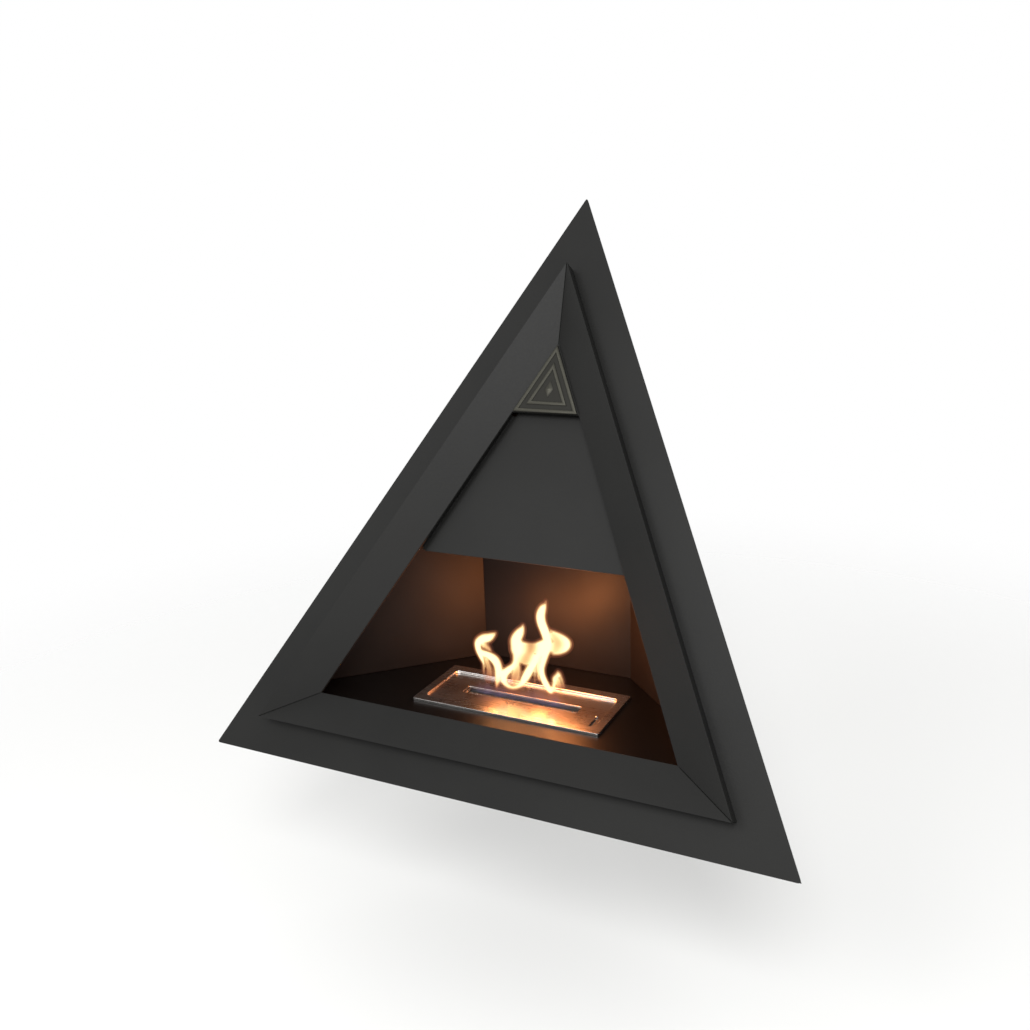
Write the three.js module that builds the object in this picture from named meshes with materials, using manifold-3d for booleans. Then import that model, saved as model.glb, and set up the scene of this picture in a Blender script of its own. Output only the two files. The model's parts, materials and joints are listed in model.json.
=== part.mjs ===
// Corner fireplace: a wall-hung steel firebox that closes a room corner with one leaning
// triangular face, and burns liquid alcohol in a drop-in tray.
//
// Millimetres, +Z up, -Y out into the room. The origin is on the upright line where the two
// walls meet, level with the casing's underside. The walls run from there towards -X-Y and +X-Y.

import * as THREE from "three";
import { mergeVertices } from "three/addons/utils/BufferGeometryUtils.js";
import Module from "manifold-3d";

const wasm = await Module();
wasm.setup();

// ---------------------------------------------------------------- driving dimensions

// Whole casing
const BASE_WIDTH = 900; // face's base, from wall to wall
const HEIGHT = 800; // base to the face's tip in the corner
const SHEET = 2; // casing and firebox sheet
const GAP = 0.3; // assembly clearance between neighbouring pieces
const CORNER_ROUND = 5; // rounding of the face's three tips

// Face, border and opening. Insets are measured in the face from its outer edge.
const FACE_SHEET = 3;
const BEZEL_INSET = 53; // outer wall of the raised border
const BEZEL_RISE = 26.5; // its height above the face
const OPENING_INSET = 106; // edge of the fire opening, where the border's slope ends

// Emblem plate in the tip of the opening
const EMBLEM_HEIGHT = 110; // opening's tip down to the plate's lower edge
const EMBLEM_SIDE_GAP = 1.5;
const EMBLEM_SHEET = 2.4;
const RELIEF_HEIGHT = 1.8;
const RELIEF_LINE = 5.5; // width of a raised line
const RELIEF_PITCH = 12; // from the outer line to the inner one
const LOZENGE_WIDTH = 15;
const LOZENGE_HEIGHT = 28;
const EMBLEM_STUD_RADIUS = 2;
const EMBLEM_STUD_SPREAD = 30; // to each side of the middle
const EMBLEM_STUD_RISE = 12; // above the web's edge

// Visor: the plate behind the opening's upper half
const VISOR_SETBACK = 14; // face's outer surface to the visor's front
const VISOR_DROP = 223.5; // emblem's lower edge down to the visor's
const VISOR_SIDE_GAP = 2;
const VISOR_STUD_RISE = 29; // above the web's edge
const VISOR_STUD_SPREAD = 18;
const VISOR_STUD_RADIUS = 2.5;
const VISOR_COLLAR_RADIUS = 6;
const VISOR_EDGE = 11; // stud to the visor's upper edge
const BRACKET_END_SPACE = 2; // bracket's ends to the visor's lower edge and the emblem's
const BRACKET_SHEET = 1.5;
const BRACKET_FOOT = 15;

// Nuts and their studs' ends
const NUT_HEIGHT = 3.2;
const NUT_WALL = 1.8; // least wall round the thread
const STUD_END = 1.5; // stud beyond its nut

// Firebox
const HEARTH_TOP = 83;
const FIREBOX_BACK_OUT = 155; // corner line to the back panel's front
const FIREBOX_WALL_OFFSET = 21; // room wall to the side panel's inner face

// Wall fixing
const ANGLE_LEG = 25; // inner angle that joins the wall plates
const KEYHOLE_HEAD_RADIUS = 6;
const KEYHOLE_NECK_RADIUS = 3;
const KEYHOLE_LENGTH = 14; // centre of the head to the end of the neck
const UPPER_KEYHOLE_ALONG = 90; // along the wall from the corner
const UPPER_KEYHOLE_UP = 540;
const LOWER_KEYHOLE_ALONG = 480;
const LOWER_KEYHOLE_UP = 42;
const STANDOFF_RADIUS = 8;
const STANDOFF_BORE = 5;
const LOWER_STANDOFF_ALONG = 400;
const LOWER_STANDOFF_UP = 140;
const UPPER_STANDOFF_ALONG = 240;
const UPPER_STANDOFF_UP = 300;

// Burner tray, tank and fuel: lengths run across, widths out from the corner
const BURNER_LENGTH = 300;
const BURNER_BACK_SPACE = 65.5; // back panel to the tray
const TRAY_SHEET = 1.5;
const TRAY_RISE = 4; // tray's top above the hearth
const TRAY_ROUND = 3;
const RIM_END = 13.5; // tray's end to the pan
const RIM_SIDE = 17; // tray's long side to the pan
const PAN_DEPTH = 4;
const PAN_ROUND = 7;
const CUTOUT_CLEARANCE = 1.5; // hearth cut-out round the pan
const SLOT_LENGTH = 188;
const SLOT_WIDTH = 22;
const SLOT_ROUND = 3;
const TANK_END_INSET = 3.5; // tank inside the pan
const TANK_SIDE_INSET = 1.5;
const TANK_DEPTH = 60;
const TANK_ROUND = 8;
const WOOL_DROP = 8.6; // pan floor's underside to the wool's top
const GRILLE_SHEET = 1;
const GRILLE_OVERLAP = 5; // grille beyond the slot
const GRILLE_HOLE_RADIUS = 1.7;
const GRILLE_PITCH = 8;
const GRILLE_ROWS = 3;

// Shutter
const SHUTTER_SHEET = 1.5;
const SHUTTER_OVERLAP = 4; // past the slot's long edges when closed
const SHUTTER_END_LAP = 6; // past the slot's ends
const SHUTTER_OPEN_SPACE = 0.5; // slot's edge to the open shutter
const SHUTTER_REAR_SPACE = 3; // open shutter to the tank's wall
const RUNNER_WIDTH = 8;
const RUNNER_HEIGHT = 3;
const RUNNER_ROUND = 1;
const PIN_INSET = 6; // pin's middle to the tank's end
const ARM_SPACE = 3.5; // closed shutter's arm to the tank's wall
const PIN_RADIUS = 1.5;
const PIN_HEAD_RADIUS = 2.6;
const PIN_HEAD_HEIGHT = 2.2;
const PIN_CLEARANCE = 0.4;
const ARM_WIDTH = 6;

const ARC_STEPS = 6; // straight steps in a rounded corner
const ROUND_STEPS = 24; // sides of a round piece

// ---------------------------------------------------------------- worked out from them

const DEPTH = BASE_WIDTH / 2; // the walls meet at a right angle
const WALL_RUN = BASE_WIDTH * Math.SQRT1_2; // along one wall
const SLOPE = Math.hypot(HEIGHT, DEPTH); // up the middle of the face
const LEAN = Math.atan2(HEIGHT, DEPTH);
const HALF_TIP = Math.atan2(BASE_WIDTH / 2, SLOPE); // half the angle at the face's upper tip
const REACH = 4 * (BASE_WIDTH + HEIGHT); // further than any piece goes
const EMBLEM_BASE = tipAt(OPENING_INSET) - EMBLEM_HEIGHT; // up the face to the plate's lower edge
const WEB_EDGE = EMBLEM_BASE - GAP; // lower edge of the face's solid tip
const VISOR_BOTTOM = EMBLEM_BASE - VISOR_DROP;
const VISOR_FRONT = VISOR_SETBACK - FACE_SHEET; // behind the face's inner surface
const VISOR_REAR = VISOR_FRONT + SHEET;
const VISOR_STUD_UP = WEB_EDGE + VISOR_STUD_RISE;
const VISOR_TOP = VISOR_STUD_UP + VISOR_EDGE;
const NUT_ROOM = 2 * GAP + NUT_HEIGHT + STUD_END; // behind the visor
const INNER = SHEET + GAP; // room wall to what stands against a wall plate

// The burner, from the slot outwards
const SHUTTER_WIDTH = SLOT_WIDTH + 2 * SHUTTER_OVERLAP;
const SHUTTER_HALF_LENGTH = SLOT_LENGTH / 2 + SHUTTER_END_LAP;
const SHUTTER_TRAVEL = (SHUTTER_WIDTH + SLOT_WIDTH) / 2 + SHUTTER_OPEN_SPACE;
const TANK_INNER_WIDTH = 2 * (SHUTTER_TRAVEL + SHUTTER_WIDTH / 2 + SHUTTER_REAR_SPACE);
const TANK_WIDTH = TANK_INNER_WIDTH + 2 * TRAY_SHEET;
const PAN_WIDTH = TANK_WIDTH + 2 * TANK_SIDE_INSET;
const BURNER_WIDTH = PAN_WIDTH + 2 * RIM_SIDE;
const PAN_LENGTH = BURNER_LENGTH - 2 * RIM_END;
const TANK_LENGTH = PAN_LENGTH - 2 * TANK_END_INSET;
const TANK_INNER_LENGTH = TANK_LENGTH - 2 * TRAY_SHEET;
const PIN_ALONG = TANK_LENGTH / 2 - PIN_INSET;
const PIN_REACH = TANK_INNER_WIDTH / 2 - ARM_SPACE - ARM_WIDTH / 2; // in front of the shutter's middle
const BURNER_OUT = FIREBOX_BACK_OUT + BURNER_BACK_SPACE + BURNER_WIDTH / 2;

// Heights above the hearth
const PAN_FLOOR = TRAY_RISE - PAN_DEPTH;
const PAN_UNDERSIDE = PAN_FLOOR - TRAY_SHEET;
const TANK_TOP = PAN_UNDERSIDE - GAP;
const SHUTTER_TOP = PAN_UNDERSIDE - GAP;
const SHUTTER_BOTTOM = SHUTTER_TOP - SHUTTER_SHEET;

// ---------------------------------------------------------------- materials

const coat = { color: 0x3c3c3a, roughness: 0.55, metalness: 0.25 };
const innerCoat = { color: 0x2e2a27, roughness: 0.7, metalness: 0.2 };
const relief = { color: 0x5f5e54, roughness: 0.5, metalness: 0.5 };
const stainless = { color: 0x9c8f86, roughness: 0.32, metalness: 1 };
const zinc = { color: 0xa9abad, roughness: 0.4, metalness: 0.9 };
const ceramic = { color: 0xd9d5cb, roughness: 0.95, metalness: 0 };

// ---------------------------------------------------------------- solids

function signedVolume(points, triangles) {
  let volume = 0;
  for (const [a, b, c] of triangles) {
    const across = points[b].clone().cross(points[c]);
    volume += points[a].dot(across) / 6;
  }
  return volume;
}

// A closed mesh from its points and triangles, with its faces turned outwards.
function closedGeometry(points, triangles) {
  const inward = signedVolume(points, triangles) < 0;
  const order = triangles.flatMap(([a, b, c]) => (inward ? [a, c, b] : [a, b, c]));
  const geometry = new THREE.BufferGeometry().setFromPoints(points);
  geometry.setIndex(order);
  geometry.computeVertexNormals();
  return geometry;
}

// A bar with the same section at both ends; start and end hold the section's points in place.
function loft(section, start, end) {
  const outline = section.map(([x, y]) => new THREE.Vector2(x, y));
  const turned = THREE.ShapeUtils.isClockWise(outline);
  if (turned) {
    outline.reverse();
  }
  const first = turned ? [...start].reverse() : start;
  const last = turned ? [...end].reverse() : end;
  const count = outline.length;
  const triangles = [];
  for (const [a, b, c] of THREE.ShapeUtils.triangulateShape(outline, [])) {
    triangles.push([a, b, c], [a + count, c + count, b + count]);
  }
  for (let i = 0; i < count; i += 1) {
    const next = (i + 1) % count;
    triangles.push([i, i + count, next + count], [i, next + count, next]);
  }
  return closedGeometry([...first, ...last], triangles);
}

function toSolid(geometry) {
  const bare = geometry.clone();
  bare.deleteAttribute("normal");
  bare.deleteAttribute("uv");
  const merged = mergeVertices(bare);
  const mesh = new wasm.Mesh({
    numProp: 3,
    vertProperties: Float32Array.from(merged.attributes.position.array),
    triVerts: Uint32Array.from(merged.index.array),
  });
  return new wasm.Manifold(mesh);
}

function toGeometry(solid) {
  const mesh = solid.getMesh();
  const geometry = new THREE.BufferGeometry();
  geometry.setAttribute("position", new THREE.BufferAttribute(mesh.vertProperties, 3));
  geometry.setIndex(new THREE.BufferAttribute(mesh.triVerts, 1));
  geometry.computeVertexNormals();
  return geometry;
}

function join(first, ...others) {
  return toGeometry(others.reduce((whole, next) => whole.add(toSolid(next)), toSolid(first)));
}

function cut(first, ...tools) {
  return toGeometry(tools.reduce((rest, tool) => rest.subtract(toSolid(tool)), toSolid(first)));
}

function common(first, second) {
  return toGeometry(toSolid(first).intersect(toSolid(second)));
}

// ---------------------------------------------------------------- outlines

function polygon(points) {
  return new THREE.Shape(points.map(([x, y]) => new THREE.Vector2(x, y)));
}

// A polygon whose corners are rounded: each curve starts and ends at the given distance.
function roundedPolygon(points, distance) {
  const corners = points.map(([x, y]) => new THREE.Vector2(x, y));
  const shape = new THREE.Shape();
  corners.forEach((corner, i) => {
    const before = corners[(i + corners.length - 1) % corners.length];
    const after = corners[(i + 1) % corners.length];
    const start = before.clone().sub(corner).setLength(distance).add(corner);
    const end = after.clone().sub(corner).setLength(distance).add(corner);
    if (i === 0) {
      shape.moveTo(start.x, start.y);
    } else {
      shape.lineTo(start.x, start.y);
    }
    shape.quadraticCurveTo(corner.x, corner.y, end.x, end.y);
  });
  shape.closePath();
  return shape;
}

function roundedRectangle(length, width, radius, x = 0, y = 0) {
  const a = length / 2;
  const b = width / 2;
  return roundedPolygon([[x - a, y - b], [x + a, y - b], [x + a, y + b], [x - a, y + b]], radius);
}

function circle(radius, x = 0, y = 0, steps = ROUND_STEPS) {
  const points = [];
  for (let i = 0; i < steps; i += 1) {
    const turn = (2 * Math.PI * i) / steps;
    points.push([x + radius * Math.cos(turn), y + radius * Math.sin(turn)]);
  }
  return polygon(points);
}

function extrude(shape, bottom, top) {
  const settings = { depth: top - bottom, bevelEnabled: false, curveSegments: ARC_STEPS };
  return new THREE.ExtrudeGeometry(shape, settings).translate(0, 0, bottom);
}

function nut(bore, x, y, bottom) {
  const across = (bore + NUT_WALL) / Math.cos(Math.PI / 6);
  const shape = circle(across, x, y, 6);
  shape.holes.push(circle(bore, x, y, ROUND_STEPS / 2));
  return extrude(shape, bottom, bottom + NUT_HEIGHT);
}

// ---------------------------------------------------------------- the leaning face

// Everything on the face is drawn flat: x across, y up the slope from the middle of the base,
// z out of the face, with 0 on the face sheet's inner surface, which meets the walls.
const face = new THREE.Group();
face.position.set(0, -DEPTH, 0);
face.rotation.x = LEAN;
face.updateMatrix();

// Half the width between two lines that run inside the face's slanting edges.
function halfWidth(up, inset) {
  return (BASE_WIDTH / 2) * (1 - up / SLOPE) - inset / Math.cos(HALF_TIP);
}

function tipAt(inset) {
  return SLOPE - inset / Math.sin(HALF_TIP);
}

// The three corners of the triangle that lies the given distance inside the face's edge.
function faceCorner(name, inset) {
  if (name === "tip") {
    return new THREE.Vector2(0, tipAt(inset));
  }
  const side = name === "left" ? -1 : 1;
  return new THREE.Vector2(side * halfWidth(inset, inset), inset);
}

function trapezoid(bottom, top, inset) {
  const low = halfWidth(bottom, inset);
  const high = halfWidth(top, inset);
  return [[-low, bottom], [low, bottom], [high, top], [-high, top]];
}

function faceFlange() {
  const outline = ["left", "right", "tip"].map((name) => faceCorner(name, 0).toArray());
  const shape = roundedPolygon(outline, CORNER_ROUND);
  shape.holes.push(polygon(trapezoid(OPENING_INSET, WEB_EDGE, OPENING_INSET)));
  for (const side of [-1, 1]) {
    const hole = circle(EMBLEM_STUD_RADIUS + GAP, side * EMBLEM_STUD_SPREAD, emblemStudUp());
    shape.holes.push(hole);
  }
  return extrude(shape, 0, FACE_SHEET);
}

// One side of the raised border: an upright outer wall and a slope down to the opening.
// Its ends are mitred on the lines that halve the face's corners.
function bezelStrip(from, to) {
  const foot = FACE_SHEET + GAP;
  const crest = FACE_SHEET + BEZEL_RISE;
  const run = OPENING_INSET - BEZEL_INSET;
  const slope = Math.atan2(crest - foot, run);
  const section = [
    [BEZEL_INSET, foot],
    [BEZEL_INSET, crest],
    [OPENING_INSET, foot],
    [OPENING_INSET - SHEET / Math.sin(slope), foot],
    [BEZEL_INSET + SHEET, crest - SHEET * Math.tan(slope) - SHEET / Math.cos(slope)],
    [BEZEL_INSET + SHEET, foot],
  ];
  const mitre = GAP / 2 / Math.sin(HALF_TIP);
  const endPoints = (near, far) => section.map(([inset, out]) => {
    const start = faceCorner(near, inset);
    const towards = faceCorner(far, inset).sub(start).setLength(mitre);
    start.add(towards);
    return new THREE.Vector3(start.x, start.y, out);
  });
  return loft(section, endPoints(from, to), endPoints(to, from));
}

function emblemStudUp() {
  return WEB_EDGE + EMBLEM_STUD_RISE;
}

// The emblem's outline, or the same triangle drawn inside it.
function emblemTriangle(inset) {
  const sideInset = OPENING_INSET + EMBLEM_SIDE_GAP + inset;
  const base = EMBLEM_BASE + inset;
  const half = halfWidth(base, sideInset);
  return [[-half, base], [half, base], [0, tipAt(sideInset)]];
}

// A plain ornament: two nested triangles round a lozenge.
function emblemPlate() {
  const rear = FACE_SHEET + GAP;
  const front = rear + EMBLEM_SHEET;
  const raised = [];
  for (const inset of [0, RELIEF_PITCH]) {
    const line = polygon(emblemTriangle(inset));
    line.holes.push(polygon(emblemTriangle(inset + RELIEF_LINE)));
    raised.push(extrude(line, rear + GAP, front + RELIEF_HEIGHT));
  }
  const middle = EMBLEM_BASE + (tipAt(OPENING_INSET) - EMBLEM_BASE) / 3;
  const lozenge = polygon([
    [0, middle - LOZENGE_HEIGHT / 2],
    [LOZENGE_WIDTH / 2, middle],
    [0, middle + LOZENGE_HEIGHT / 2],
    [-LOZENGE_WIDTH / 2, middle],
  ]);
  raised.push(extrude(lozenge, rear + GAP, front + RELIEF_HEIGHT));
  const end = -(GAP + NUT_HEIGHT + STUD_END);
  const studs = [-1, 1].map((side) => {
    const stud = circle(EMBLEM_STUD_RADIUS, side * EMBLEM_STUD_SPREAD, emblemStudUp());
    return extrude(stud, end, front);
  });
  return join(extrude(polygon(emblemTriangle(0)), rear, front), ...raised, ...studs);
}

function visorPanel() {
  const outline = trapezoid(VISOR_BOTTOM, VISOR_TOP, OPENING_INSET).map(([x, y]) => {
    return [x - Math.sign(x) * VISOR_SIDE_GAP, y];
  });
  const shape = polygon(outline);
  for (const side of [-1, 1]) {
    shape.holes.push(circle(VISOR_STUD_RADIUS + GAP, side * VISOR_STUD_SPREAD, VISOR_STUD_UP));
  }
  return extrude(shape, -VISOR_REAR, -VISOR_FRONT);
}

// A stud on the back of the face's tip: a collar that sets the visor's distance, then a thread.
function visorStud(side) {
  const x = side * VISOR_STUD_SPREAD;
  const end = VISOR_REAR + GAP + NUT_HEIGHT + STUD_END;
  const collar = extrude(circle(VISOR_COLLAR_RADIUS, x, VISOR_STUD_UP), GAP - VISOR_FRONT, -GAP);
  const thread = extrude(circle(VISOR_STUD_RADIUS, x, VISOR_STUD_UP), -end, -GAP - STUD_END);
  return join(collar, thread);
}

// A stepped strip that holds the visor's side edge to the back of the face, and closes the gap
// between the two.
function visorBracket(side) {
  const riser = OPENING_INSET - 2 * VISOR_SIDE_GAP;
  const front = -GAP;
  const rear = -(VISOR_REAR + GAP);
  const section = [
    [riser - BRACKET_FOOT, front],
    [riser, front],
    [riser, rear],
    [riser + BRACKET_FOOT, rear],
    [riser + BRACKET_FOOT, rear - BRACKET_SHEET],
    [riser - BRACKET_SHEET, rear - BRACKET_SHEET],
    [riser - BRACKET_SHEET, front - BRACKET_SHEET],
    [riser - BRACKET_FOOT, front - BRACKET_SHEET],
  ];
  const endPoints = (up) => section.map(([inset, out]) => {
    return new THREE.Vector3(side * halfWidth(up, inset), up, out);
  });
  const low = endPoints(VISOR_BOTTOM + BRACKET_END_SPACE);
  const high = endPoints(EMBLEM_BASE - BRACKET_END_SPACE);
  return loft(section, low, high);
}

// ---------------------------------------------------------------- casing and firebox

// A point in plan: along a wall from the corner, and off that wall into the room.
function plan(side, along, off) {
  return [side * (along - off) * Math.SQRT1_2, -(along + off) * Math.SQRT1_2];
}

// The space behind the face, from the given distance behind its inner surface.
function behindFace(distance) {
  const space = new THREE.BoxGeometry(REACH, REACH, REACH);
  space.translate(0, 0, -REACH / 2 - distance);
  return space.applyMatrix4(face.matrix);
}

function upright(outline, bottom, top, clearance = GAP) {
  return common(extrude(polygon(outline), bottom, top), behindFace(clearance));
}

// Turns a piece drawn flat on a wall: x across, y up, z off the wall into the room.
function onWall(geometry, side, along, up) {
  const across = new THREE.Vector3(1, -side, 0).normalize();
  const off = new THREE.Vector3(-side, -1, 0).normalize();
  const [x, y] = plan(side, along, 0);
  const turn = new THREE.Matrix4().makeBasis(across, new THREE.Vector3(0, 0, 1), off);
  return geometry.applyMatrix4(turn.setPosition(x, y, up));
}

function keyhole(side, along, up) {
  const shoulder = Math.asin(KEYHOLE_NECK_RADIUS / KEYHOLE_HEAD_RADIUS);
  const neck = KEYHOLE_LENGTH - KEYHOLE_NECK_RADIUS;
  const shape = new THREE.Shape();
  shape.absarc(0, neck, KEYHOLE_NECK_RADIUS, 0, Math.PI, false);
  const start = Math.PI / 2 + shoulder;
  shape.absarc(0, 0, KEYHOLE_HEAD_RADIUS, start, start + 2 * (Math.PI - shoulder), false);
  return onWall(extrude(shape, -SHEET, 2 * SHEET), side, along, up);
}

function wallPlate(side) {
  const mitre = GAP * Math.SQRT1_2;
  const outline = [
    plan(side, mitre, 0),
    plan(side, WALL_RUN, 0),
    plan(side, WALL_RUN, SHEET),
    plan(side, SHEET + mitre, SHEET),
  ];
  return cut(
    upright(outline, 0, HEIGHT),
    keyhole(side, UPPER_KEYHOLE_ALONG, UPPER_KEYHOLE_UP),
    keyhole(side, LOWER_KEYHOLE_ALONG, LOWER_KEYHOLE_UP),
  );
}

// A level plate that fills the corner between the wall plates and the face.
function shelf(bottom) {
  const outline = [plan(1, INNER, INNER), plan(1, REACH, INNER), plan(-1, REACH, INNER)];
  return upright(outline, bottom, bottom + SHEET);
}

function hearthPlate() {
  const length = PAN_LENGTH + 2 * (TRAY_SHEET + CUTOUT_CLEARANCE);
  const width = PAN_WIDTH + 2 * (TRAY_SHEET + CUTOUT_CLEARANCE);
  const opening = roundedRectangle(length, width, PAN_ROUND + CUTOUT_CLEARANCE, 0, -BURNER_OUT);
  return cut(shelf(HEARTH_TOP - SHEET), extrude(opening, HEARTH_TOP - 2 * SHEET, HEARTH_TOP + SHEET));
}

function cornerAngle() {
  const outer = INNER + ANGLE_LEG;
  const outline = [
    plan(1, INNER, INNER),
    plan(1, outer, INNER),
    plan(1, outer, INNER + SHEET),
    plan(1, INNER + SHEET, INNER + SHEET),
    plan(-1, outer, INNER + SHEET),
    plan(-1, outer, INNER),
  ];
  return upright(outline, HEARTH_TOP + GAP, HEIGHT);
}

function fireboxBack() {
  const half = FIREBOX_BACK_OUT - (FIREBOX_WALL_OFFSET - SHEET) * Math.SQRT2;
  const rear = FIREBOX_BACK_OUT - SHEET;
  const outline = [[-half, -FIREBOX_BACK_OUT], [half, -FIREBOX_BACK_OUT], [half, -rear], [-half, -rear]];
  return upright(outline, HEARTH_TOP + GAP, HEIGHT, VISOR_REAR + NUT_ROOM);
}

function fireboxSide(side) {
  const start = (FIREBOX_BACK_OUT + GAP) * Math.SQRT2; // along and off add up to this
  const inner = FIREBOX_WALL_OFFSET;
  const outer = FIREBOX_WALL_OFFSET - SHEET;
  const outline = [
    plan(side, start - inner, inner),
    plan(side, REACH, inner),
    plan(side, REACH, outer),
    plan(side, start - outer, outer),
  ];
  return upright(outline, HEARTH_TOP + GAP, HEIGHT);
}

function standoff(side, along, up) {
  const ring = circle(STANDOFF_RADIUS);
  ring.holes.push(circle(STANDOFF_BORE));
  const tube = extrude(ring, INNER, FIREBOX_WALL_OFFSET - SHEET - GAP);
  return onWall(tube, side, along, up);
}

// ---------------------------------------------------------------- burner

// Drawn round the middle of the tray: x across, y towards the corner, z up from the hearth.
const burner = new THREE.Group();
burner.position.set(0, -BURNER_OUT, HEARTH_TOP);

function burnerTray() {
  const rim = extrude(roundedRectangle(BURNER_LENGTH, BURNER_WIDTH, TRAY_ROUND), GAP, TRAY_RISE);
  const panLength = PAN_LENGTH + 2 * TRAY_SHEET;
  const panWidth = PAN_WIDTH + 2 * TRAY_SHEET;
  const inside = roundedRectangle(
    BURNER_LENGTH - 2 * TRAY_SHEET,
    BURNER_WIDTH - 2 * TRAY_SHEET,
    TRAY_ROUND,
  );
  const shell = cut(rim, extrude(inside, 0, TRAY_RISE - TRAY_SHEET));
  const body = extrude(
    roundedRectangle(panLength, panWidth, PAN_ROUND + TRAY_SHEET),
    PAN_UNDERSIDE,
    TRAY_RISE,
  );
  const hollow = extrude(
    roundedRectangle(PAN_LENGTH, PAN_WIDTH, PAN_ROUND),
    PAN_FLOOR,
    TRAY_RISE + TRAY_SHEET,
  );
  const slot = extrude(
    roundedRectangle(SLOT_LENGTH, SLOT_WIDTH, SLOT_ROUND),
    PAN_UNDERSIDE - TRAY_SHEET,
    TRAY_RISE,
  );
  return cut(join(shell, body), hollow, slot, pinSlit());
}

function pinSlit() {
  const width = 2 * (PIN_RADIUS + PIN_CLEARANCE);
  const middle = SHUTTER_TRAVEL / 2 - PIN_REACH;
  const shape = roundedRectangle(width, SHUTTER_TRAVEL + width, PIN_RADIUS, PIN_ALONG, middle);
  return extrude(shape, PAN_UNDERSIDE - TRAY_SHEET, TRAY_RISE);
}

function burnerTank() {
  const box = roundedRectangle(TANK_LENGTH, TANK_WIDTH, TANK_ROUND);
  const inside = roundedRectangle(TANK_INNER_LENGTH, TANK_INNER_WIDTH, TANK_ROUND - TRAY_SHEET);
  const bottom = TANK_TOP - TANK_DEPTH;
  return cut(extrude(box, bottom, TANK_TOP), extrude(inside, bottom + TRAY_SHEET, TANK_TOP + SHEET));
}

function ceramicWool() {
  const shape = roundedRectangle(
    TANK_INNER_LENGTH - 2 * GAP,
    TANK_INNER_WIDTH - 2 * GAP,
    TANK_ROUND - TRAY_SHEET,
  );
  return extrude(shape, TANK_TOP - TANK_DEPTH + TRAY_SHEET + GAP, PAN_UNDERSIDE - WOOL_DROP);
}

function slotGrille() {
  const length = SLOT_LENGTH + 2 * GRILLE_OVERLAP;
  const width = SLOT_WIDTH + 2 * GRILLE_OVERLAP;
  const shape = roundedRectangle(length, width, SLOT_ROUND);
  const columns = Math.floor(SLOT_LENGTH / GRILLE_PITCH);
  for (let row = 0; row < GRILLE_ROWS; row += 1) {
    for (let column = 0; column < columns; column += 1) {
      const x = (column - (columns - 1) / 2) * GRILLE_PITCH;
      const y = (row - (GRILLE_ROWS - 1) / 2) * GRILLE_PITCH;
      shape.holes.push(circle(GRILLE_HOLE_RADIUS, x, y, 6));
    }
  }
  const bottom = PAN_UNDERSIDE - WOOL_DROP + GAP;
  return extrude(shape, bottom, bottom + GRILLE_SHEET);
}

// The shutter is drawn closed, over the slot, and its group is slid open.
const shutter = new THREE.Group();
shutter.position.set(0, SHUTTER_TRAVEL, 0);
burner.add(shutter);

function shutterPlate() {
  const front = -SHUTTER_WIDTH / 2;
  const armEnd = PIN_ALONG + ARM_WIDTH / 2;
  const armFront = -PIN_REACH - ARM_WIDTH / 2;
  const outline = [
    [-SHUTTER_HALF_LENGTH, front],
    [PIN_ALONG - ARM_WIDTH / 2, front],
    [PIN_ALONG - ARM_WIDTH / 2, armFront],
    [armEnd, armFront],
    [armEnd, front + ARM_WIDTH],
    [SHUTTER_HALF_LENGTH, front + ARM_WIDTH],
    [SHUTTER_HALF_LENGTH, -front],
    [-SHUTTER_HALF_LENGTH, -front],
  ];
  return extrude(polygon(outline), SHUTTER_BOTTOM, SHUTTER_TOP);
}

function shutterPin() {
  const foot = SHUTTER_TOP + GAP;
  const headBottom = PAN_FLOOR + GAP;
  const headTop = headBottom + PIN_HEAD_HEIGHT;
  const profile = [
    [0, foot],
    [PIN_RADIUS, foot],
    [PIN_RADIUS, headBottom],
    [PIN_HEAD_RADIUS, headBottom],
    [PIN_HEAD_RADIUS, headTop - PIN_CLEARANCE],
    [PIN_HEAD_RADIUS - PIN_CLEARANCE, headTop],
    [0, headTop],
  ].map(([x, y]) => new THREE.Vector2(x, y));
  const pin = new THREE.LatheGeometry(profile, ROUND_STEPS).rotateX(Math.PI / 2);
  return toGeometry(toSolid(pin.translate(PIN_ALONG, -PIN_REACH, 0)));
}

function shutterRunner(side) {
  const width = TANK_INNER_WIDTH - 2 * GAP;
  const x = side * (SHUTTER_HALF_LENGTH - RUNNER_WIDTH / 2);
  const top = SHUTTER_BOTTOM - GAP;
  return extrude(roundedRectangle(RUNNER_WIDTH, width, RUNNER_ROUND, x, 0), top - RUNNER_HEIGHT, top);
}

// ---------------------------------------------------------------- assembly

const fireplace = new THREE.Group();
fireplace.add(face, burner);

function place(name, geometry, finish, parent = fireplace) {
  const mesh = new THREE.Mesh(geometry, new THREE.MeshStandardMaterial(finish));
  mesh.name = name;
  parent.add(mesh);
}

place("face_flange", faceFlange(), coat, face);
place("bezel_left", bezelStrip("tip", "left"), coat, face);
place("bezel_right", bezelStrip("right", "tip"), coat, face);
place("bezel_bottom", bezelStrip("left", "right"), coat, face);
place("emblem_plate", emblemPlate(), relief, face);
place("visor_panel", visorPanel(), coat, face);
place("corner_angle", cornerAngle(), coat);
place("casing_bottom", shelf(0), coat);
place("hearth_plate", hearthPlate(), innerCoat);
place("firebox_back", fireboxBack(), innerCoat);

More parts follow.
